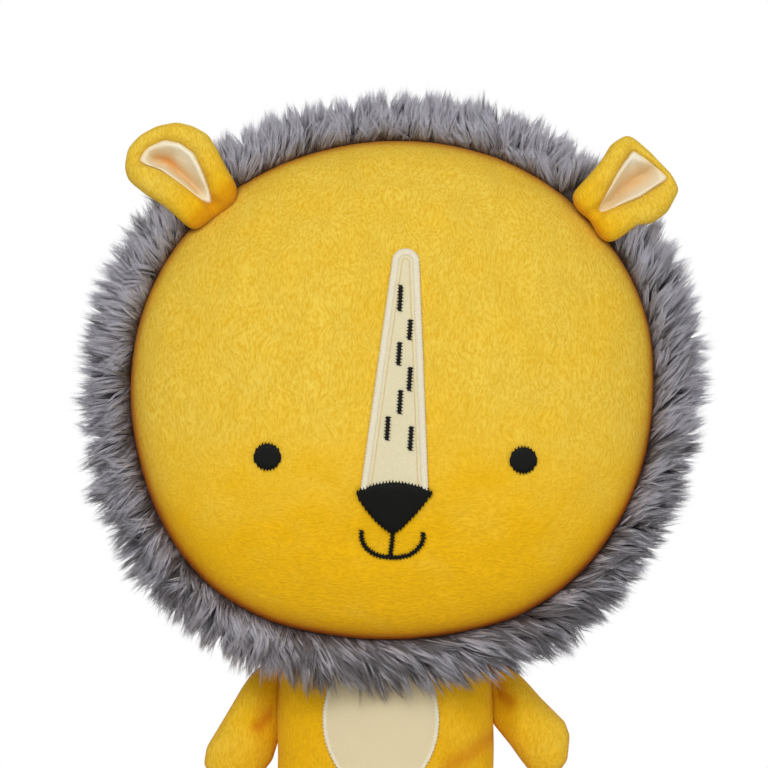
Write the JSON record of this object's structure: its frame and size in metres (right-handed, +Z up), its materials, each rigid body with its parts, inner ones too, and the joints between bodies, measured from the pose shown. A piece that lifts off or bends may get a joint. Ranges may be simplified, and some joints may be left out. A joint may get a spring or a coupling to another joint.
{
  "type": "plush lion",
  "caption": "Sitting plush lion with a big round cushion head in a fur mane, embroidered face, folded ears and a small soft body with swinging limbs and tail.",
  "frame": {"origin": "on the flat of the seat, a little behind its middle seam, in the plane that the lion rests on", "axes": "+Z up through the head, -Y the way the face looks, +X towards the lion's left"},
  "size_m": [0.1904, 0.1633, 0.238],
  "materials": {
    "yellow_minky": "matte",
    "cream_minky": "matte",
    "grey_fur": "matte",
    "black_thread": "satin",
    "cream_thread": "satin",
    "filling": "matte"
  },
  "bodies": {
    "torso": {"torso_front_panel": "yellow_minky", "torso_back_panel": "yellow_minky", "torso_stuffing": "filling", "belly_patch": "cream_minky", "belly_border": "cream_thread"},
    "head": {"face_panel": "yellow_minky", "head_back_panel": "yellow_minky", "head_stuffing": "filling", "mane_trim": "grey_fur", "blaze_patch": "cream_minky", "blaze_border": "cream_thread", "blaze_dash_1": "black_thread", "blaze_dash_2": "black_thread", "blaze_dash_3": "black_thread", "blaze_dash_4": "black_thread", "blaze_dash_5": "black_thread", "blaze_dash_6": "black_thread", "blaze_dash_7": "black_thread", "nose_embroidery": "black_thread", "nose_line_embroidery": "black_thread", "mouth_embroidery": "black_thread", "eye_left": "black_thread", "eye_right": "black_thread"},
    "ear_left": {"ear_left_outer": "yellow_minky", "ear_left_lining": "cream_minky"},
    "ear_right": {"ear_right_outer": "yellow_minky", "ear_right_lining": "cream_minky"},
    "arm_left": {"arm_left_front_panel": "yellow_minky", "arm_left_back_panel": "yellow_minky", "arm_left_stuffing": "filling"},
    "arm_right": {"arm_right_front_panel": "yellow_minky", "arm_right_back_panel": "yellow_minky", "arm_right_stuffing": "filling"},
    "leg_left": {"leg_left_top_panel": "yellow_minky", "leg_left_sole_panel": "yellow_minky", "leg_left_stuffing": "filling"},
    "leg_right": {"leg_right_top_panel": "yellow_minky", "leg_right_sole_panel": "yellow_minky", "leg_right_stuffing": "filling"},
    "tail": {"tail_cover": "yellow_minky", "tail_stuffing": "filling", "tail_tuft": "grey_fur"}
  },
  "joints": [
    {"name": "neck_nod", "type": "hinge", "parent": "torso", "child": "head", "pos_m": [0, -0.005, 0.082], "axis": [1, 0, 0], "range_deg": [-12, 4], "stiffness_Nm_per_rad": 1, "springref_deg": -0.63},
    {"name": "ear_left_fold", "type": "hinge", "parent": "head", "child": "ear_left", "pos_m": [0.06286, -0.0209, 0.19985], "axis": [0.7009, 0, -0.7133], "range_deg": [0, 25], "stiffness_Nm_per_rad": 0.01},
    {"name": "ear_right_fold", "type": "hinge", "parent": "head", "child": "ear_right", "pos_m": [-0.05425, -0.0209, 0.20425], "axis": [0.7934, 0, 0.6088], "range_deg": [0, 25], "stiffness_Nm_per_rad": 0.01},
    {"name": "arm_left_swing", "type": "hinge", "parent": "torso", "child": "arm_left", "pos_m": [0.03266, 0.00186, 0.05002], "axis": [-0.0507, 0, 0.9987], "range_deg": [-35, 35], "stiffness_Nm_per_rad": 0.02},
    {"name": "arm_right_swing", "type": "hinge", "parent": "torso", "child": "arm_right", "pos_m": [-0.03266, 0.00186, 0.05002], "axis": [-0.0507, 0, -0.9987], "range_deg": [-35, 35], "stiffness_Nm_per_rad": 0.02},
    {"name": "leg_left_swing", "type": "hinge", "parent": "torso", "child": "leg_left", "pos_m": [0.01711, -0.02323, 0.00952], "axis": [0.9253, 0.3793, 0], "range_deg": [-40, 60], "stiffness_Nm_per_rad": 0.6},
    {"name": "leg_right_swing", "type": "hinge", "parent": "torso", "child": "leg_right", "pos_m": [-0.01711, -0.02323, 0.00952], "axis": [0.9253, -0.3793, 0], "range_deg": [-40, 60], "stiffness_Nm_per_rad": 0.6},
    {"name": "tail_lift", "type": "hinge", "parent": "torso", "child": "tail", "pos_m": [0, 0.01998, 0.012], "axis": [1, 0, 0], "range_deg": [0, 35], "stiffness_Nm_per_rad": 0.02}
  ]
}
